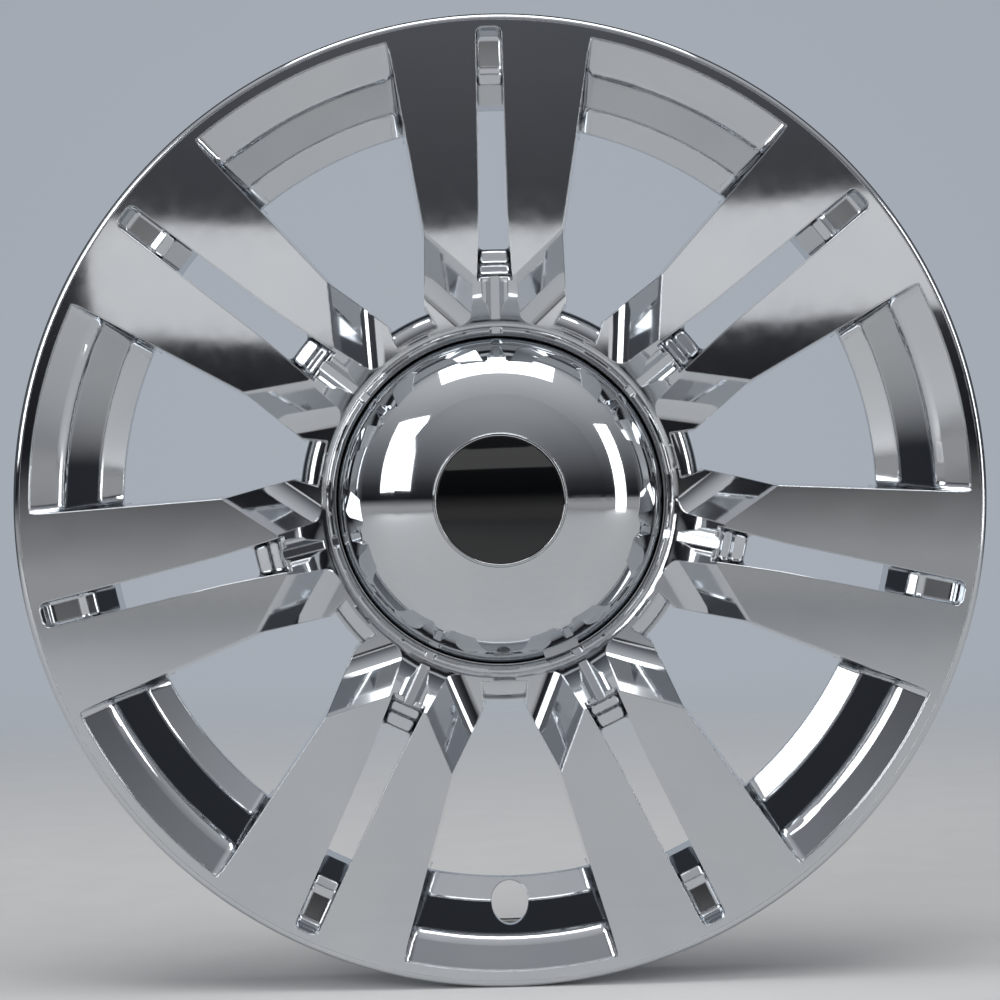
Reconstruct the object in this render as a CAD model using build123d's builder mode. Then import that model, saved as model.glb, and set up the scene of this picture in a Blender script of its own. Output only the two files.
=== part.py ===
from build123d import *
import os
from math import asin, cos, degrees, radians, sin, sqrt, tan

# Chrome-plated wheel cover for an 18 inch wheel, in millimetres, as it stands on a car.
# The wheel axis is Y, the front faces -Y, and the origin is the wheel centre on the plane
# where the cover's rim meets the wheel. Heights below are counted towards the front.

# Rim and face
cover_d = 480.0            # outer diameter
face_height = 16.0         # flat face of the rim above the rim seat
face_rise = 2.0            # how far the face stands up from the rim band to the creases
lip_round = 3.5            # rounding of the outer lip
wall = 2.6                 # moulded wall
spoke_count = 7            # pairs of spokes, and windows between them

# Window between two spoke pairs: half widths at distances from the axis
window_outer_r = 233.2
window_outer_half = 55.0
window_bend_at = 132.3
window_bend_half = 27.5
window_waist_at = 102.3
window_waist_half = 12.6
window_inner_at = 88.0
window_inner_half = 14.0
window_draft = 3.0         # degrees, the walls close in towards the back
window_cove = 4.0          # rounding between the walls and the barrel

# Barrel that steps down inside each window: (radius, height) of its corners
barrel_top = (236.0, 15.9)
barrel_shoulder = (216.5, 8.0)
barrel_foot = (203.0, -18.5)
barrel_edge = (191.6, -25.5)
barrel_shoulder_round = 11.0
barrel_foot_round = 5.0

# Slot that splits each spoke pair: half widths at distances from the axis
slot_outer_r = 233.0
slot_outer_half = 6.2
slot_mid_at = 142.0
slot_mid_half = 6.9
slot_inner_at = 108.0
slot_inner_half = 8.7
slot_corner = 3.5          # rounding of the outer end

# Floor of the slot's outer pocket and of the steps at its inner end: (radius, height)
pocket_top = (234.5, 18.0)
pocket_floor = (228.5, 9.0)
pocket_dip = (214.0, 7.6)
pocket_bump = (210.5, 9.2)
pocket_drop = (206.0, 6.5)
pocket_edge = (198.5, -12.0)
pocket_rounds = (3.0, 2.5, 1.5, 3.0)
pocket_cove = 2.0          # rounding between the floor and the slot's walls
step_foot = (126.5, -12.0)
step_roll = (125.0, -0.5)
step_tread = (118.0, 2.2)
step_riser = (116.3, 6.0)
step_top = (112.5, 7.0)
step_crest = (110.2, 10.5)
step_rounds = (3.5, 3.4, 1.2, 3.4, 1.0)
step_cove = 2.6

# Facets that fall from the creases of each spoke to the hub, on both sides of the slot
crease_outer_across = 32.6
crease_outer_at = 131.1
crease_inner_across = 9.5
crease_inner_at = 109.7
facet_slope = 46.0         # degrees below the face
facet_drop = 18.5          # from the crease to the foot of the facet
facet_cove = 14.0          # rounding at that foot
facet_reach = 36.0         # how far the facet and its foot go, across the crease
facet_over = 10.0          # past the crease's outer end, in the window
facet_run = 72.0           # whole length along the crease

# Fluted trough from the steps down to the hub: half widths and heights over its floor
trough_start_at = 111.0
trough_start_height = 10.0
trough_end_at = 84.0
trough_end_height = -2.0
trough_floor_half = 2.0
trough_flute_half = 4.6
trough_flute_rise = 2.8
trough_ledge_half = 6.2
trough_ledge_rise = 3.4
trough_top_half = 10.6
trough_top_rise = 26.0

# Hub: collar round the centre cap, socket wall, ledge and web to the windows
hub_r = 83.0               # inside of the socket
collar_height = -2.0
collar_bead_r = 1.8
bowl_r = 87.0              # where the scoop round the collar starts
bowl_slope = 40.0          # degrees
bowl_round = 8.0
web_edge_r = 100.6         # where the hub's rolled web ends in each window
web_drop = 11.0
web_round = 9.0
web_sink = 1.0             # below the collar
ledge_r = 70.0             # bore of the ledge that the centre cap snaps into
ledge_height = -6.0
ledge_thick = 3.0

# Back: how deep the walls go at the rim, barrel, spokes and hub
rim_back_r = 226.0
barrel_back = -30.0
barrel_back_r = 206.0
barrel_front_r = 188.0
spoke_back = -10.0
hub_back_r = 106.0
hub_back = -18.0
rib_radii = (150.0, 178.0)
rib_thick = 1.8
rib_back = -6.0

# Retention ring and the legs that carry it
leg_count = 14
leg_width = 15.0
leg_thick = 3.4
leg_tip = -33.0
leg_bump = 2.0
lug_reach = 3.6
lug_thick = 2.4
ring_r = 215.0             # middle of the wire
ring_wire_d = 4.2
ring_height = -26.5
ring_clearance = 0.1

# Valve hole in the bottom window
valve_d = 18.6
valve_r = 202.6

# Centre cap
cap_gap = 1.0              # between cap and socket
cap_wall = 2.4
cap_flange = 2.0           # upright edge of the cap
dome_top_radius = 150.0    # the dome's two curves
dome_turn_r = 52.0
dome_edge_slope = 62.0     # degrees
finger_count = 8
finger_width = 15.0
finger_thick = 2.6
finger_clearance = 0.3     # to the ledge's bore
finger_below = 4.0         # past the back of the ledge
finger_relief = 0.8        # the finger's neck stands back from its foot
notch_angle = 159.0        # degrees clockwise from the top
notch_width = 18.0
notch_depth = 4.0

# Emblem: bright tray with a black domed insert, in a seat on the cap
emblem_d = 65.2
emblem_gap = 0.2
seat_depth = 1.2
seat_wall = 2.4
tray_height = 3.2
tray_floor = 1.2
tray_rim = 1.4
insert_gap = 0.1
insert_crown = 1.4

pitch = 360.0 / spoke_count
outer_r = cover_d / 2
section = Plane(origin=(0, 0, 0), x_dir=(1, 0, 0), z_dir=(0, 0, -1))


def wheel_plane(angle, height=0.0):
    """Plane across the axis, its y axis pointing outwards at an angle clockwise from the top."""
    a = radians(angle)
    return Plane(origin=(0, -height, 0), x_dir=(cos(a), 0, -sin(a)), z_dir=(0, -1, 0))


def radial_plane(angle):
    """Plane through the axis, x outwards at an angle clockwise from the top, y to the front."""
    a = radians(angle)
    out = Vector(sin(a), 0, cos(a))
    return Plane(origin=(0, 0, 0), x_dir=out, z_dir=out.cross(Vector(0, -1, 0)))


def face_at(radius):
    """Height of the spoke face at a radius."""
    return face_height + face_rise * (window_outer_r - radius) / (window_outer_r - crease_inner_at)


window_turns = [pitch * (k + 0.5) for k in range(spoke_count)]
spoke_turns = [pitch * k for k in range(spoke_count)]
above = face_height + face_rise + 25.0
below = min(barrel_back, leg_tip) - 20.0


def under(line, rounds, skin):
    """Ring of all that lies under a floor line, given from its outer end, sunk by skin."""
    with BuildPart() as ring:
        with BuildSketch(section):
            with BuildLine():
                top = FilletPolyline(*line, radius=rounds) if rounds else Polyline(*line)
                Polyline(top @ 1, ((top @ 1).X, below), ((top @ 0).X, below), top @ 0)
            make_face()
            if skin > 0:
                offset(amount=-skin, kind=Kind.INTERSECTION, mode=Mode.REPLACE)
        revolve(axis=Axis.Y)
    return ring.part


def barrel_ring(skin):
    """Stepped barrel under the windows."""
    line = (barrel_top, barrel_shoulder, barrel_foot, barrel_edge)
    return under(line, (barrel_shoulder_round, barrel_foot_round), skin)


def web_ring(skin):
    """Rolled web from the hub collar out to the windows."""
    top = collar_height - web_sink
    line = ((web_edge_r, top - web_drop), (web_edge_r, top), (hub_r - wall, top))
    return under(line, (web_round,), skin)


def pocket_ring(skin):
    """Floor of the pockets at the slots' outer ends."""
    line = (pocket_top, pocket_floor, pocket_dip, pocket_bump, pocket_drop, pocket_edge)
    return under(line, pocket_rounds if skin == 0 else None, skin)


def step_ring(skin):
    """Steps at the slots' inner ends."""
    line = (step_foot, step_roll, step_tread, step_riser, step_top, step_crest, (hub_r, step_crest[1]))
    return under(line, step_rounds if skin == 0 else None, skin)


def wall_edges(part, near, far, low, high):
    """Edges up the walls of a void, between two radii and two heights of their middles."""
    picked = ShapeList()
    for edge in part.edges().filter_by(GeomType.CIRCLE, reverse=True):
        middle = edge @ 0.5
        if near < sqrt(middle.X**2 + middle.Z**2) < far and low < -middle.Y < high:
            picked.append(edge)
    return picked


def window_void(skin):
    """Open space in front of a window's floors, widened by skin."""
    with BuildPart() as void:
        with BuildSketch(wheel_plane(0, above)):
            with BuildLine():
                right = Polyline(
                    (window_inner_half, window_inner_at),
                    (window_waist_half, window_waist_at),
                    (window_bend_half, window_bend_at),
                    (window_outer_half, sqrt(window_outer_r**2 - window_outer_half**2)),
                )
                mirror(about=Plane.YZ)
                ThreePointArc(right @ 1, (0, window_outer_r), (-(right @ 1).X, (right @ 1).Y))
                Line(right @ 0, (-(right @ 0).X, (right @ 0).Y))
            make_face()
            if skin > 0:
                offset(amount=skin, kind=Kind.INTERSECTION, mode=Mode.REPLACE)
        extrude(amount=below - above, taper=window_draft)
        add(barrel_ring(skin), mode=Mode.SUBTRACT)
        add(web_ring(skin), mode=Mode.SUBTRACT)
        if skin == 0:
            rim = window_outer_r - window_cove
            sides = wall_edges(void.part, barrel_edge[0] + wall, rim, barrel_back, face_height)
            fillet(sides, radius=window_cove)
    return void.part


def slot_void(skin):
    """Open space in front of a slot's floors, widened by skin."""
    with BuildPart() as void:
        with BuildSketch(wheel_plane(0, below)) as outline:
            with BuildLine():
                right = Polyline(
                    (slot_inner_half, slot_inner_at),
                    (slot_mid_half, slot_mid_at),
                    (slot_outer_half, slot_outer_r),
                )
                mirror(about=Plane.YZ)
                Line(right @ 1, (-(right @ 1).X, (right @ 1).Y))
                Line(right @ 0, (-(right @ 0).X, (right @ 0).Y))
            make_face()
            fillet(outline.vertices().group_by(Axis.Y)[-1], radius=slot_corner)
            if skin > 0:
                offset(amount=skin, kind=Kind.INTERSECTION, mode=Mode.REPLACE)
        extrude(amount=above - below)
        add(pocket_ring(skin), mode=Mode.SUBTRACT)
        add(step_ring(skin), mode=Mode.SUBTRACT)
        if skin == 0:
            pocket = wall_edges(void.part, pocket_edge[0], pocket_top[0], pocket_edge[1], face_height)
            fillet(pocket, radius=pocket_cove)
            roll_end = (step_tread[0] + step_riser[0]) / 2
            roll = wall_edges(void.part, roll_end, step_foot[0] + wall, below, step_riser[1])
            fillet(roll, radius=step_cove)
    return void.part


def facet_voids(skin):
    """Space over the two facets of the top spoke pair, down to the coves at their feet, sunk by skin."""
    inner_h = face_at(sqrt(crease_inner_across**2 + crease_inner_at**2))
    outer_h = face_at(sqrt(crease_outer_across**2 + crease_outer_at**2))
    inner = Vector(crease_inner_across, -inner_h, crease_inner_at)
    outer = Vector(crease_outer_across, -outer_h, crease_outer_at)
    along = (outer - inner).normalized()
    fall = along.cross(Vector(0, -1, 0))
    steepness = tan(radians(facet_slope))
    lift = above - face_height
    with BuildPart() as voids:
        with BuildSketch(Plane(origin=outer + along * facet_over, x_dir=fall, z_dir=along * -1)):
            with BuildLine():
                facet = FilletPolyline(
                    (-lift / steepness, lift),
                    (facet_drop / steepness, -facet_drop),
                    (facet_reach, -facet_drop),
                    radius=facet_cove,
                )
                Polyline(facet @ 1, (facet_reach, lift), facet @ 0)
            make_face()
            if skin > 0:
                offset(amount=skin, kind=Kind.INTERSECTION, mode=Mode.REPLACE)
        extrude(amount=facet_run)
        mirror(about=Plane.YZ)
    return voids.part


def trough_void(skin):
    """Fluted trough of the top spoke pair, widened by skin."""
    run = trough_start_at - trough_end_at
    climb = trough_start_height - trough_end_height
    slope_dir = Vector(0, -climb, run).normalized()
    start = Vector(0, -trough_end_height, trough_end_at) - slope_dir * wall
    with BuildPart() as void:
        with BuildSketch(Plane(origin=start, x_dir=(-1, 0, 0), z_dir=slope_dir)):
            with BuildLine():
                side = Polyline(
                    (trough_floor_half, 0),
                    (trough_flute_half, trough_flute_rise),
                    (trough_ledge_half, trough_ledge_rise),
                    (trough_top_half, trough_top_rise),
                )
                mirror(about=Plane.YZ)
                Line(side @ 0, (-(side @ 0).X, (side @ 0).Y))
                Line(side @ 1, (-(side @ 1).X, (side @ 1).Y))
            make_face()
            if skin > 0:
                offset(amount=skin, kind=Kind.INTERSECTION, mode=Mode.REPLACE)
        extrude(amount=sqrt(run**2 + climb**2) + wall + skin)
    return void.part


def bowl_void(skin):
    """Scoop round the hub collar and its bead, sunk by skin."""
    with BuildPart() as void:
        with BuildSketch(section):
            with BuildLine():
                scoop = FilletPolyline(
                    (hub_r - 2 * wall, collar_height),
                    (bowl_r, collar_height),
                    (bowl_r + (above - collar_height) / tan(radians(bowl_slope)), above),
                    radius=bowl_round,
                )
                Polyline(scoop @ 1, ((scoop @ 0).X, above), scoop @ 0)
            make_face()
            if skin > 0:
                offset(amount=skin, kind=Kind.INTERSECTION, mode=Mode.REPLACE)
            else:
                with Locations(((hub_r + bowl_r) / 2, collar_height)):
                    Circle(collar_bead_r, mode=Mode.SUBTRACT)
        revolve(axis=Axis.Y)
    return void.part


def all_round(shape, turns):
    """Copies of a shape made at the top, turned round the wheel."""
    return [shape.rotate(Axis.Y, turn) for turn in turns]


def form(skin):
    """The cover as a solid block behind its front, all its surfaces moved in by skin."""
    sink = 4 * skin
    voids = [bowl_void(skin)]
    voids += all_round(window_void(skin), window_turns)
    for made in (slot_void(skin), facet_voids(skin), trough_void(skin)):
        voids += all_round(made, spoke_turns)
    with BuildPart() as body:
        with BuildSketch(section):
            with BuildLine():
                lip = FilletPolyline(
                    (outer_r, -sink),
                    (outer_r, face_at(outer_r)),
                    (hub_r, face_at(hub_r)),
                    radius=lip_round,
                )
                Polyline(
                    lip @ 1,
                    (hub_r, hub_back - sink),
                    (hub_back_r, hub_back - sink),
                    (hub_back_r, spoke_back - sink),
                    (barrel_front_r, spoke_back - sink),
                    (barrel_front_r, barrel_back - sink),
                    (barrel_back_r, barrel_back - sink),
                    (rim_back_r, -sink),
                    lip @ 0,
                )
            make_face()
            if skin > 0:
                offset(amount=-skin, kind=Kind.INTERSECTION, mode=Mode.REPLACE)
        revolve(axis=Axis.Y)
        add(voids, mode=Mode.SUBTRACT)
    return body.part


def hollow():
    """Space behind the moulding's skin, less the ribs that stand in it."""
    with BuildPart() as space:
        add(form(wall))
        with BuildSketch(section):
            for radius in rib_radii:
                with Locations((radius, rib_back)):
                    Rectangle(rib_thick, above - rib_back, align=(Align.CENTER, Align.MIN))
        revolve(axis=Axis.Y, mode=Mode.SUBTRACT)
    return space.part


def clip_legs():
    """Legs behind the rim, each with a notch that the retention ring springs into."""
    leg_in = ring_r + ring_wire_d / 2 + ring_clearance
    leg_out = leg_in + leg_thick
    lug_in = leg_in - lug_reach
    notch = ring_wire_d / 2 + ring_clearance
    root = face_at(leg_out) - wall / 2
    with BuildPart() as legs:
        with BuildSketch(*[radial_plane(360 / leg_count * (k + 0.5)) for k in range(leg_count)]):
            with BuildLine():
                Polyline(
                    (leg_in, root),
                    (leg_out, root),
                    (leg_out, ring_height + leg_bump * 2),
                    (leg_out + leg_bump, ring_height + leg_bump),
                    (leg_out + leg_bump, ring_height),
                    (leg_out, leg_tip),
                    (leg_in, leg_tip),
                    (lug_in, ring_height - notch - lug_thick),
                    (lug_in, ring_height - notch),
                    (leg_in, ring_height - notch),
                    (leg_in, ring_height + notch),
                    (lug_in, ring_height + notch),
                    (leg_in, ring_height + notch + lug_thick),
                    close=True,
                )
            make_face()
        extrude(amount=leg_width / 2, both=True)
        add(all_round(window_void(0), window_turns), mode=Mode.SUBTRACT)
    return legs.part


# Cover: one moulding with rim, spokes, barrel, hub socket, ribs and legs
with BuildPart() as cover:
    add(form(0))
    add(hollow(), mode=Mode.SUBTRACT)
    with BuildSketch(section):
        with Locations((ledge_r, ledge_height)):
            Rectangle(hub_r + wall / 2 - ledge_r, ledge_thick, align=(Align.MIN, Align.MAX))
    revolve(axis=Axis.Y)
    add(clip_legs())
    with BuildSketch(wheel_plane(180, below)):
        with Locations((0, valve_r)):
            Circle(valve_d / 2)
    extrude(amount=above - below, mode=Mode.SUBTRACT)


# Retention ring: one closed hoop of spring wire
with BuildPart() as ring:
    with BuildSketch(section):
        with Locations((ring_r, ring_height)):
            Circle(ring_wire_d / 2)
    revolve(axis=Axis.Y)


# Centre cap: two tangent curves make the dome
cap_r = hub_r - cap_gap
dome_turn = degrees(asin(dome_turn_r / dome_top_radius))
dome_side_radius = (cap_r - dome_turn_r) / (sin(radians(dome_edge_slope)) - sin(radians(dome_turn)))
dome_edge_height = ledge_height + cap_flange
dome_apex = (
    dome_edge_height
    + dome_side_radius * (cos(radians(dome_turn)) - cos(radians(dome_edge_slope)))
    + dome_top_radius * (1 - cos(radians(dome_turn)))
)
emblem_r = emblem_d / 2
seat_r = emblem_r + emblem_gap


def dome_at(radius):
    """Height of the dome's outside at a radius."""
    if radius <= dome_turn_r:
        return dome_apex - dome_top_radius + sqrt(dome_top_radius**2 - radius**2)
    across = sin(radians(dome_turn)) + (radius - dome_turn_r) / dome_side_radius
    drop = dome_side_radius * (cos(radians(dome_turn)) - sqrt(1 - across**2))
    return dome_at(dome_turn_r) - drop


seat_height = dome_at(seat_r) - seat_depth


def dome_block(skin):
    """The dome as a solid, its outside moved in by skin."""
    with BuildPart() as block:
        with BuildSketch(section):
            with BuildLine():
                top = JernArc((0, dome_apex - skin), (1, 0), dome_top_radius - skin, -dome_turn)
                sweep_angle = dome_edge_slope - dome_turn
                side = JernArc(top @ 1, top % 1, dome_side_radius - skin, -sweep_angle)
                Polyline(side @ 1, ((side @ 1).X, ledge_height - skin), (0, ledge_height - skin), top @ 0)
            make_face()
        revolve(axis=Axis.Y)
    return block.part


with BuildPart() as cap:
    add(dome_block(0))
    add(dome_block(cap_wall), mode=Mode.SUBTRACT)
    with BuildSketch(wheel_plane(0, seat_height - seat_wall)):
        Circle(seat_r + seat_wall)
    extrude(amount=seat_wall + seat_depth / 2)
    with BuildSketch(wheel_plane(0, seat_height)):
        Circle(seat_r)
    extrude(amount=dome_apex, mode=Mode.SUBTRACT)
    foot_r = ledge_r - finger_clearance
    foot_back = ledge_height - ledge_thick - finger_below
    neck_r = foot_r - finger_relief
    finger_top = dome_at(foot_r) - cap_wall / 2
    with BuildSketch(wheel_plane(0, foot_back)):
        with PolarLocations(neck_r - finger_thick / 2, finger_count):
            Rectangle(finger_thick, finger_width)
    extrude(amount=finger_top - foot_back)
    with BuildSketch(wheel_plane(0, foot_back)):
        with PolarLocations(foot_r - finger_thick / 2, finger_count):
            Rectangle(finger_thick, finger_width)
    extrude(amount=finger_below - finger_clearance)
    with BuildSketch(wheel_plane(notch_angle, ledge_height)):
        with Locations((0, cap_r)):
            Rectangle(notch_width, 2 * notch_depth)
    extrude(amount=dome_at(cap_r - notch_depth) - ledge_height + cap_wall, mode=Mode.SUBTRACT)


# Emblem tray: bright dish with a raised rim
with BuildPart() as tray:
    with BuildSketch(wheel_plane(0, seat_height)):
        Circle(emblem_r)
    extrude(amount=tray_height)
    with BuildSketch(wheel_plane(0, seat_height + tray_floor)):
        Circle(emblem_r - tray_rim)
    extrude(amount=tray_height, mode=Mode.SUBTRACT)
    rim_edges = tray.edges().filter_by(GeomType.CIRCLE).group_by(Axis.Y)[0]
    fillet(rim_edges, radius=tray_rim * 0.4)


# Emblem insert: bare black lens with a slight crown
insert_r = emblem_r - tray_rim - insert_gap
insert_floor = seat_height + tray_floor
insert_edge = seat_height + tray_height - tray_rim * 0.4
with BuildPart() as insert:
    with BuildSketch(section):
        with BuildLine():
            crown = ThreePointArc(
                (-insert_r, insert_edge), (0, insert_edge + insert_crown), (insert_r, insert_edge)
            )
            Polyline(crown @ 1, (insert_r, insert_floor), (-insert_r, insert_floor), crown @ 0)
        make_face()
        split(bisect_by=Plane.YZ, keep=Keep.TOP)
    revolve(axis=Axis.Y)


os.makedirs("parts", exist_ok=True)
nodes = {
    "cover_moulding": cover,
    "retention_ring": ring,
    "centre_cap": cap,
    "emblem_tray": tray,
    "emblem_insert": insert,
}
for node_name, node in nodes.items():
    node.part.label = node_name
    export_step(node.part, f"parts/{node_name}.step")
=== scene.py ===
# %% [markdown]
# # A chrome wheel cover, dressed for a studio picture
# The cover is one large moulding of ABS plastic with bright chrome plating, a sprung wire hoop behind it
# that grips the wheel, and a domed centre cap with a round black emblem. The solids come from CAD and stay
# where they are. This lesson gives them the soft edges, the plating and the light that a real one shows.

# %% Load the solids
import math
import bpy
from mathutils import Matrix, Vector


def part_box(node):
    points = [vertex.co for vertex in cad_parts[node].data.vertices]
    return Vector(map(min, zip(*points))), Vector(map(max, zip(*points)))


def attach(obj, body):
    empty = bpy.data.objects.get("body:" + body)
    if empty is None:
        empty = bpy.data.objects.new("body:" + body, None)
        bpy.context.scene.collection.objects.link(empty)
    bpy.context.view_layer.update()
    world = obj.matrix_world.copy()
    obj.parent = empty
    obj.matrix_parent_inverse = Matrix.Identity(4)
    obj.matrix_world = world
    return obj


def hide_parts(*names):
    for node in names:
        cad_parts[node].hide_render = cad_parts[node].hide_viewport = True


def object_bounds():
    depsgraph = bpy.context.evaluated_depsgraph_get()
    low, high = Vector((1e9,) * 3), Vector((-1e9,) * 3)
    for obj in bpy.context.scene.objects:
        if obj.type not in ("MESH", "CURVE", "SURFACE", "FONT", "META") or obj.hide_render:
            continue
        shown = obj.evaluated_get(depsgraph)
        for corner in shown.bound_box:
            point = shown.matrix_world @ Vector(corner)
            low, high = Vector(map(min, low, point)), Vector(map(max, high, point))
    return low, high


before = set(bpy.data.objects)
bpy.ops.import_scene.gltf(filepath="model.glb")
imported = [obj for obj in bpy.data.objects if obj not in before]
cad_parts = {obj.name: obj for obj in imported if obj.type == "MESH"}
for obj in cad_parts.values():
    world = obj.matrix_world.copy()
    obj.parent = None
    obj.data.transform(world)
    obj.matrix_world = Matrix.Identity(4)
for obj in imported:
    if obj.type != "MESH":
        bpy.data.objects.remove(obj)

cad_low, cad_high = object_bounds()
mm = 0.001
print("CAD box in mm:", [round(v / mm, 1) for v in cad_high - cad_low])

# %% [markdown]
# ## Small helpers
# Operators act on whatever is selected, so one helper leaves a single piece selected. Colours are written
# as the sRGB hex values that a paint program shows, and one function turns them into the linear values that
# the shaders work in. One more function adds a shader node, fills in its settings and joins its links. The
# last starts a material whose patterns are fixed to the piece by its Object coordinates.


# %% Helpers
def only(piece):
    """Leaves one piece selected and active."""
    bpy.ops.object.select_all(action="DESELECT")
    piece.select_set(True)
    bpy.context.view_layer.objects.active = piece


def colour(text):
    """Linear RGBA of an sRGB hex colour."""
    parts = [int(text[i:i + 2], 16) / 255 for i in (1, 3, 5)]
    return [p / 12.92 if p <= 0.04045 else ((p + 0.055) / 1.055) ** 2.4 for p in parts] + [1.0]


def add(tree, kind, settings, links):
    """A node with its settings, sockets (by name or number) or properties, and its inputs joined."""
    node = tree.nodes.new(kind)
    for name, value in settings.items():
        if isinstance(name, int) or name in node.inputs:
            node.inputs[name].default_value = value
        else:
            setattr(node, name, value)
    for name, socket in links.items():
        tree.links.new(socket, node.inputs[name])
    return node


def new_material(name):
    """A material, its node tree, its shader and the Object coordinates that its patterns read."""
    material = bpy.data.materials.new(name)
    material.use_nodes = True
    tree = material.node_tree
    place = add(tree, "ShaderNodeTexCoord", {}, {}).outputs["Object"]
    return material, tree, tree.nodes["Principled BSDF"], place


print("white is", colour("#FFFFFF"))

# %% [markdown]
# ## The moulding and the cap
# The cover comes out of its mould as one shell, and the domed cap as another. Both keep the shapes that
# CAD gave them: the creases, steps, coves and fillets are right, and the normals are exact, so the plating
# mirrors without dents. What is still missing is the fine rounding that every plated edge has. A Bevel
# modifier could cut it, but these flats are long thin triangles, which it tears. So the edges are rounded
# in the finish.

# %% Take the two mouldings
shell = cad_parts["cover_moulding"]
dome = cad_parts["centre_cap"]
for moulding in (shell, dome):
    print(moulding.name, len(moulding.data.polygons), "faces")

# %% [markdown]
# ## The emblem
# The emblem is a shallow bright tray with a cast black lens lying in it. Both are turned shapes, so each
# is drawn as half of its section and spun round the wheel axis. A plane merged to one point starts the
# section, and extruding that point walks along it.


# %% Spin a section
def spun(name, section, steps):
    """Turns a section of (radius, height) points, from axis to axis or closed, round the wheel axis."""
    bpy.ops.object.select_all(action="DESELECT")
    bpy.ops.mesh.primitive_plane_add(size=1 * mm, location=(0, 0, 0))
    piece = bpy.context.object
    piece.name = name
    piece.data.name = name
    bpy.ops.object.mode_set(mode="EDIT")
    bpy.ops.mesh.select_all(action="SELECT")
    bpy.ops.mesh.merge(type="CENTER")
    bpy.ops.transform.translate(value=(section[0][0], -section[0][1], 0))
    for (r0, h0), (r1, h1) in zip(section, section[1:]):
        bpy.ops.mesh.extrude_region_move(TRANSFORM_OT_translate={"value": (r1 - r0, h0 - h1, 0)})
    bpy.ops.mesh.select_all(action="SELECT")
    bpy.ops.mesh.spin(steps=steps, angle=2 * math.pi, center=(0, 0, 0), axis=(0, 1, 0))
    bpy.ops.mesh.select_all(action="SELECT")
    bpy.ops.mesh.remove_doubles(threshold=0.001 * mm)
    bpy.ops.mesh.normals_make_consistent(inside=False)
    bpy.ops.object.mode_set(mode="OBJECT")
    bpy.ops.object.shade_smooth()
    return piece


# %% Round the rings of a turned piece
crease = math.radians(30)


def round_edges(piece, width):
    """Rounds the sharp rings of a turned piece and keeps its flats flat."""
    only(piece)
    bevel = piece.modifiers.new("rounded_rings", "BEVEL")
    bevel.width = width
    bevel.segments = 3
    bevel.limit_method = "ANGLE"
    bevel.angle_limit = crease
    bevel.harden_normals = True
    bpy.ops.object.modifier_apply(modifier=bevel.name)


print("rings sharper than", round(math.degrees(crease)), "degrees are rounded")

# %% Turn the tray
emblem_steps = 128
tray_low, tray_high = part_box("emblem_tray")
tray_r, tray_back, tray_front = tray_high.x, -tray_high.y, -tray_low.y
tray_rim, tray_floor, tray_edge = 1.4 * mm, 1.2 * mm, 0.45 * mm
bezel = spun("emblem_bezel", [
    (0, tray_back),
    (tray_r, tray_back),
    (tray_r, tray_front),
    (tray_r - tray_rim, tray_front),
    (tray_r - tray_rim, tray_back + tray_floor),
    (0, tray_back + tray_floor),
], emblem_steps)
round_edges(bezel, tray_edge)
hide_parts("emblem_tray")
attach(bezel, "cap")
print("tray", round(2 * tray_r / mm, 1), "mm across")

# %% [markdown]
# The lens swells towards its middle, because the resin was poured on and held at the rim by its own skin.
# Its front is an arc of a large circle, worked out from the swell and the radius.

# %% Turn the lens
lens_low, lens_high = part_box("emblem_insert")
lens_r, lens_back, lens_front = lens_high.x, -lens_high.y, -lens_low.y
swell, lens_edge = 1.4 * mm, 0.5 * mm
swell_radius = (lens_r ** 2 + swell ** 2) / (2 * swell)
ring_count = 12
rings = [lens_r * (1 - i / ring_count) for i in range(ring_count + 1)]
crown = [(r, lens_front - swell_radius + math.sqrt(swell_radius ** 2 - r ** 2)) for r in rings]
lens = spun("emblem_lens", [(0, lens_back), (lens_r, lens_back)] + crown, emblem_steps)
round_edges(lens, lens_edge)
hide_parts("emblem_insert")
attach(lens, "cap")
print("lens", round(2 * lens_r / mm, 1), "mm across")

# %% [markdown]
# ## The outer lip
# The eye follows the lip all the way round, so its highlight has to run without a ripple. The facets of the
# CAD mesh are long there, and a mirror shows every one. So the lip gets a skin of the same section, turned
# in fine steps. It lies within a few thousandths of a millimetre of the true lip, dips under the spoke faces
# where it ends, and its inner side stays within the wall.

# %% Draw the lip's section
lip_r = cad_high.x
lip_round = 3.5 * mm
lip_skin = 1.2 * mm
lip_proud = 0.004 * mm
lip_foot = 0.3 * mm
ring_depth = 0.005 * mm
outermost = [p.co for p in shell.data.vertices if math.hypot(p.co.x, p.co.z) > lip_r - ring_depth]
lip_height = max(-co.y for co in outermost)
bend = [math.radians(degrees) for degrees in range(-6, 91, 3)]


def lip_arc(across, along, angles):
    """Points round the middle of the lip's bend, with a radius across the wheel and one along its axis."""
    return [(lip_r - lip_round + across * math.sin(a), lip_height + along * math.cos(a)) for a in angles]


outside = lip_arc(lip_round, lip_round + lip_proud, bend)
foot = [(lip_r, lip_foot), (lip_r - lip_skin, lip_foot)]
inside = lip_arc(lip_round - lip_skin, lip_round - lip_skin, reversed(bend))
print("bend of the lip", round(lip_height / mm, 2), "mm in front of the seat")

# %% Turn the lip
lip_steps = 720
lip = spun("rim_lip", outside + foot + inside + outside[:1], lip_steps)
bpy.ops.object.shade_smooth_by_angle(angle=crease)
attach(lip, "cover")
print("lip", len(lip.data.polygons), "faces")

# %% [markdown]
# ## The sprung hoop
# Behind the cover, a hoop of spring wire pushes the clip legs against the wheel. The wire is bent round and
# its ends are butt welded, which leaves a small swelling. A torus gives the hoop, and the ring of points at
# the weld is fattened a little.

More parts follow.
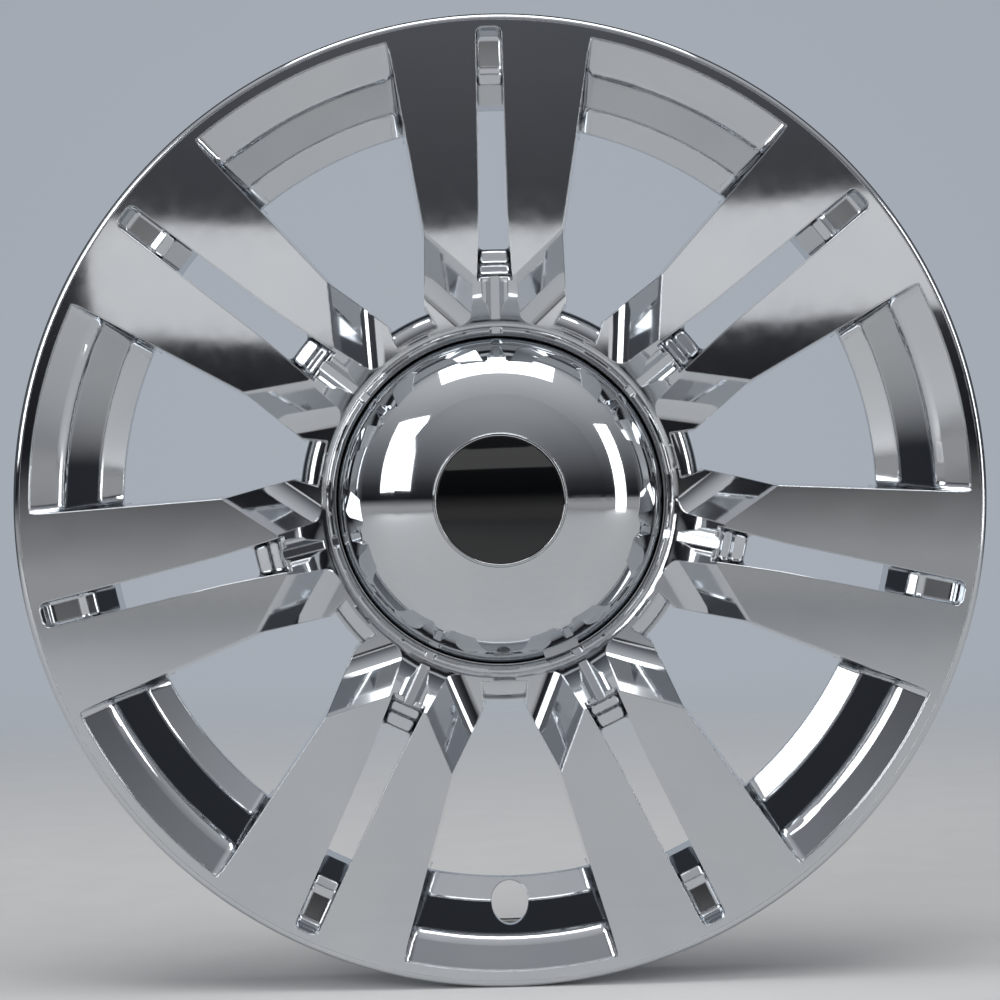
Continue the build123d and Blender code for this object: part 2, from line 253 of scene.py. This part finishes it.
# %% Bend and weld the wire
hoop_steps, wire_steps = 360, 20
weld_reach, weld_swelling = 1 * mm, 0.25 * mm
hoop_low, hoop_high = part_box("retention_ring")
wire_r = (hoop_high.y - hoop_low.y) / 2
bpy.ops.object.select_all(action="DESELECT")
bpy.ops.mesh.primitive_torus_add(
    major_radius=hoop_high.x - wire_r, minor_radius=wire_r,
    major_segments=hoop_steps, minor_segments=wire_steps,
    location=(0, (hoop_low.y + hoop_high.y) / 2, 0), rotation=(math.pi / 2, 0, 0),
)
hoop = bpy.context.object
hoop.name = "spring_hoop"
bpy.ops.object.transform_apply(location=True, rotation=True, scale=True)
bpy.ops.object.mode_set(mode="EDIT")
bpy.ops.mesh.select_all(action="DESELECT")
bpy.ops.object.mode_set(mode="OBJECT")
for point in hoop.data.vertices:
    point.select = abs(point.co.x) < weld_reach and point.co.z > 0
bpy.ops.object.mode_set(mode="EDIT")
bpy.ops.transform.shrink_fatten(value=weld_swelling)
bpy.ops.object.mode_set(mode="OBJECT")
bpy.ops.object.shade_smooth()
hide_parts("retention_ring")
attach(hoop, "cover")
print("hoop of", round(2 * wire_r / mm, 1), "mm wire")

# %% [markdown]
# ## Bright chrome on ABS
# Decorative chrome is a mirror with a faint cool tone. The plastic under it is never quite flat: it shrinks
# over its ribs as it cools, so reflections bend in slow waves some centimetres long. The plating bath
# leaves a little haze in patches. The waves are a very shallow bump and the haze is a small change of
# roughness. Plating builds up on edges and rounds them by most of a millimetre, which gathers a thin bright
# line along each one. A Bevel node turns the normals near an edge in the same way.

# %% Chrome plate
patch_mm, haze_mm = 55, 9


def plated(name, cool, warm, wave_mm, depth_mm, edge_mm):
    """Bright plating on a moulded part, with slow waves, patches of haze and rounded edges."""
    material, tree, shader, place = new_material(name)
    shader.inputs["Metallic"].default_value = 1.0
    waves = add(tree, "ShaderNodeTexNoise", {"Scale": 1 / (wave_mm * mm), "Detail": 1.0}, {"Vector": place})
    patches = add(tree, "ShaderNodeTexNoise", {"Scale": 1 / (patch_mm * mm), "Detail": 2.0},
                  {"Vector": place})
    haze = add(tree, "ShaderNodeTexNoise", {"Scale": 1 / (haze_mm * mm), "Detail": 4.0}, {"Vector": place})
    tone = add(tree, "ShaderNodeMix", {"data_type": "RGBA", 6: colour(cool), 7: colour(warm)},
               {0: patches.outputs["Fac"]})
    rough = add(tree, "ShaderNodeMapRange", {"To Min": 0.02, "To Max": 0.07}, {"Value": haze.outputs["Fac"]})
    edges = add(tree, "ShaderNodeBevel", {"samples": 4, "Radius": edge_mm * mm}, {})
    bump = add(tree, "ShaderNodeBump", {"Strength": 1.0, "Distance": depth_mm * mm},
               {"Height": waves.outputs["Fac"], "Normal": edges.outputs["Normal"]})
    tree.links.new(tone.outputs[2], shader.inputs["Base Color"])
    tree.links.new(rough.outputs["Result"], shader.inputs["Roughness"])
    tree.links.new(bump.outputs["Normal"], shader.inputs["Normal"])
    return material


chrome = plated("chrome_plate_on_abs", "#C6CBD1", "#D2D4D6", wave_mm=42, depth_mm=0.05, edge_mm=0.9)
cap_chrome = plated("chrome_plate_on_cap", "#C8CDD2", "#D4D6D8", wave_mm=60, depth_mm=0.03, edge_mm=0.6)
bezel_chrome = plated("chrome_plate_on_bezel", "#D0D4D8", "#DADCDE", wave_mm=20, depth_mm=0.005, edge_mm=0.3)
print("plated:", chrome.name, cap_chrome.name, bezel_chrome.name)

# %% Plate the pieces
for moulding, plate in ((shell, chrome), (dome, cap_chrome)):
    for slot in moulding.material_slots:
        slot.material = plate
lip.data.materials.append(chrome)
bezel.data.materials.append(bezel_chrome)
print("plated pieces:", shell.name, dome.name, lip.name, bezel.name)

# %% [markdown]
# ## Black resin lens
# The lens is clear polyurethane poured over black, so it looks like deep gloss black with a slightly soft
# reflection. Fine dust that settled while it cured shows as faint specks in the gloss. Real specks are
# finer than the picture could show, so they are drawn coarser.

# %% Black lens
speck_mm = 0.7
black_resin, tree, shader, place = new_material("black_poured_resin")
shader.inputs["IOR"].default_value = 1.5
shader.inputs["Coat Weight"].default_value = 0.5
shader.inputs["Coat Roughness"].default_value = 0.02
dust = add(tree, "ShaderNodeTexNoise", {"Scale": 1 / (speck_mm * mm), "Detail": 2.0}, {"Vector": place})
specks = add(tree, "ShaderNodeMapRange", {"From Min": 0.68, "From Max": 0.8}, {"Value": dust.outputs["Fac"]})
tint = add(tree, "ShaderNodeMix", {"data_type": "RGBA", 6: colour("#08090B"), 7: colour("#1C1E21")},
           {0: specks.outputs["Result"]})
gloss = add(tree, "ShaderNodeMapRange", {"To Min": 0.03, "To Max": 0.12},
            {"Value": specks.outputs["Result"]})
tree.links.new(tint.outputs[2], shader.inputs["Base Color"])
tree.links.new(gloss.outputs["Result"], shader.inputs["Roughness"])
lens.data.materials.append(black_resin)
print("lens finish:", black_resin.name)

# %% [markdown]
# ## Drawn spring wire
# The hoop is drawn steel wire with a thin zinc coat. Drawing leaves fine lines along the wire, so the
# pattern depends only on where a point lies across the wire: its distance from the wheel axis and its
# depth. Real lines are hair fine, so they are drawn wide enough to show.

# %% Spring wire
line_mm, stain_mm, line_depth_mm = 0.35, 14, 0.02
spring_wire, tree, shader, place = new_material("zinc_coated_spring_wire")
shader.inputs["Metallic"].default_value = 1.0
parts = add(tree, "ShaderNodeSeparateXYZ", {}, {"Vector": place})
flat = add(tree, "ShaderNodeCombineXYZ", {}, {"X": parts.outputs["X"], "Y": parts.outputs["Z"]})
reach = add(tree, "ShaderNodeVectorMath", {"operation": "LENGTH"}, {0: flat.outputs["Vector"]})
across = add(tree, "ShaderNodeCombineXYZ", {}, {"X": reach.outputs["Value"], "Y": parts.outputs["Y"]})
lines = add(tree, "ShaderNodeTexNoise", {"Scale": 1 / (line_mm * mm), "Detail": 3.0},
            {"Vector": across.outputs["Vector"]})
stain = add(tree, "ShaderNodeTexNoise", {"Scale": 1 / (stain_mm * mm), "Detail": 5.0}, {"Vector": place})
tint = add(tree, "ShaderNodeMix", {"data_type": "RGBA", 6: colour("#8E918F"), 7: colour("#B4B5B0")},
           {0: stain.outputs["Fac"]})
rough = add(tree, "ShaderNodeMapRange", {"To Min": 0.22, "To Max": 0.46}, {"Value": lines.outputs["Fac"]})
bump = add(tree, "ShaderNodeBump", {"Strength": 0.6, "Distance": line_depth_mm * mm},
           {"Height": lines.outputs["Fac"]})
tree.links.new(tint.outputs[2], shader.inputs["Base Color"])
tree.links.new(rough.outputs["Result"], shader.inputs["Roughness"])
tree.links.new(bump.outputs["Normal"], shader.inputs["Normal"])
hoop.data.materials.append(spring_wire)
print("hoop finish:", spring_wire.name)

# %% [markdown]
# ## The floor
# The cover stands on its rim on a pale matt floor. A mirror shows whatever is round it, so the floor's far
# edge would draw a hard line across every spoke. It fades out instead, into a room of nearly the same tone.

# %% Lay the floor
floor_size, floor_middle = 9.0, -1.2
bpy.ops.object.select_all(action="DESELECT")
bpy.ops.mesh.primitive_plane_add(size=floor_size, location=(0, floor_middle, cad_low.z))
floor = bpy.context.object
floor.name = "studio_floor"
print("floor at z =", round(cad_low.z / mm, 1), "mm")

# %% Paper
mottle_mm = 40
fade_start, fade_end = 1.5, 3.4
paper, tree, shader, place = new_material("pale_matt_paper")
shader.inputs["Roughness"].default_value = 0.85
mottle = add(tree, "ShaderNodeTexNoise", {"Scale": 1 / (mottle_mm * mm), "Detail": 4.0}, {"Vector": place})
tint = add(tree, "ShaderNodeMix", {"data_type": "RGBA", 6: colour("#DADADA"), 7: colour("#E2E2E1")},
           {0: mottle.outputs["Fac"]})
tree.links.new(tint.outputs[2], shader.inputs["Base Color"])
reach = add(tree, "ShaderNodeVectorMath", {"operation": "LENGTH"}, {0: place})
fade = add(tree, "ShaderNodeMapRange",
           {"From Min": fade_start, "From Max": fade_end, "interpolation_type": "SMOOTHSTEP"},
           {"Value": reach.outputs["Value"]})
clear = add(tree, "ShaderNodeBsdfTransparent", {}, {})
faded = add(tree, "ShaderNodeMixShader", {},
            {0: fade.outputs["Result"], 1: shader.outputs[0], 2: clear.outputs[0]})
tree.links.new(faded.outputs[0], tree.nodes["Material Output"].inputs["Surface"])
floor.data.materials.append(paper)
print("floor finish:", paper.name)

# %% [markdown]
# ## The room
# Chrome needs something dark as well as something bright to reflect. The far end of the room in front of
# the cover is dim just above the floor, and it brightens towards the ceiling. Behind the cover hangs a grey
# paper backdrop with dark cloth at its flanks, which the steep walls of the windows mirror.


# %% Room
def set_stops(node, stops):
    """Gives a colour ramp its stops, as pairs of a place and a hex colour."""
    ramp = node.color_ramp
    while len(ramp.elements) < len(stops):
        ramp.elements.new(0.5)
    for element, (spot, text) in zip(ramp.elements, stops):
        element.position = spot
    for element, (spot, text) in zip(ramp.elements, stops):
        element.color = colour(text)


front_stops = [(0.0, "#ACACAC"), (0.485, "#ACACAC"), (0.51, "#1C1D20"), (0.56, "#3A3B3F"), (0.70, "#85878B"),
               (1.0, "#DEDFE1")]
flank_stops = [(0.0, "#8A8E94"), (0.30, "#2A2C30"), (0.62, "#34373C"), (0.85, "#969DA6"), (1.0, "#A6ADB6")]
room = bpy.data.worlds.new("studio_room")
bpy.context.scene.world = room
room.use_nodes = True
tree = room.node_tree
way = add(tree, "ShaderNodeTexCoord", {}, {}).outputs["Generated"]
parts = add(tree, "ShaderNodeSeparateXYZ", {}, {"Vector": way})
height = add(tree, "ShaderNodeMapRange", {"From Min": -1.0, "From Max": 1.0}, {"Value": parts.outputs["Z"]})
front = add(tree, "ShaderNodeValToRGB", {}, {"Fac": height.outputs["Result"]})
set_stops(front, front_stops)
flanks = add(tree, "ShaderNodeValToRGB", {}, {"Fac": parts.outputs["Y"]})
set_stops(flanks, flank_stops)
behind = add(tree, "ShaderNodeMapRange", {"From Min": -0.15, "From Max": 0.15},
             {"Value": parts.outputs["Y"]})
mixed = add(tree, "ShaderNodeMix", {"data_type": "RGBA"},
            {0: behind.outputs["Result"], 6: front.outputs["Color"], 7: flanks.outputs["Color"]})
tree.links.new(mixed.outputs[2], tree.nodes["Background"].inputs["Color"])
print("room tones:", len(front_stops), "in front,", len(flank_stops), "behind")

# %% [markdown]
# ## Soft lamps
# A large soft lamp on the left is the key, a tall strip on the right draws the edges, and a wide lamp
# overhead lights the floor. A long dim lamp far behind the camera lies across the upper spokes as a band.
# Their sizes decide the shapes that the mirror shows.


# %% Lamps
def soft_lamp(name, spot, width, length, watts):
    """A rectangular lamp that faces the middle of the cover."""
    bpy.ops.object.light_add(type="AREA", location=spot)
    lamp = bpy.context.object
    lamp.name = name
    lamp.data.shape = "RECTANGLE"
    lamp.data.size = width
    lamp.data.size_y = length
    lamp.data.energy = watts
    lamp.rotation_euler = (-Vector(spot)).to_track_quat("-Z", "Y").to_euler()


soft_lamp("key_lamp", (-2.2, -2.0, 1.1), width=1.3, length=1.8, watts=30)
soft_lamp("strip_lamp", (2.3, -1.3, 0.6), width=0.6, length=1.9, watts=15)
soft_lamp("top_lamp", (0.0, -0.4, 2.4), width=2.2, length=1.1, watts=24)
soft_lamp("far_lamp", (0.5, -4.4, 0.62), width=3.2, length=0.3, watts=2.4)
print("lamps: key, strip, top, far")

# %% [markdown]
# ## The camera
# The picture was taken square on, level with the wheel's centre, from about 1.2 m. The cover fills a square
# frame with a few millimetres to spare. It stands turned by little more than a degree, so the camera rolls
# by that much.

# %% Camera
distance = 1.2
frame_width = 491.8 * mm
face = 16 * mm
roll = math.radians(1.4)
sensor = 36
bpy.ops.object.camera_add(location=(0, -distance - face, 0), rotation=(math.pi / 2, roll, 0))
camera = bpy.context.object
camera.data.sensor_width = sensor
camera.data.lens = sensor * distance / frame_width
bpy.context.scene.camera = camera
bpy.context.scene.view_settings.view_transform = "Standard"
print("lens", round(camera.data.lens, 1), "mm")
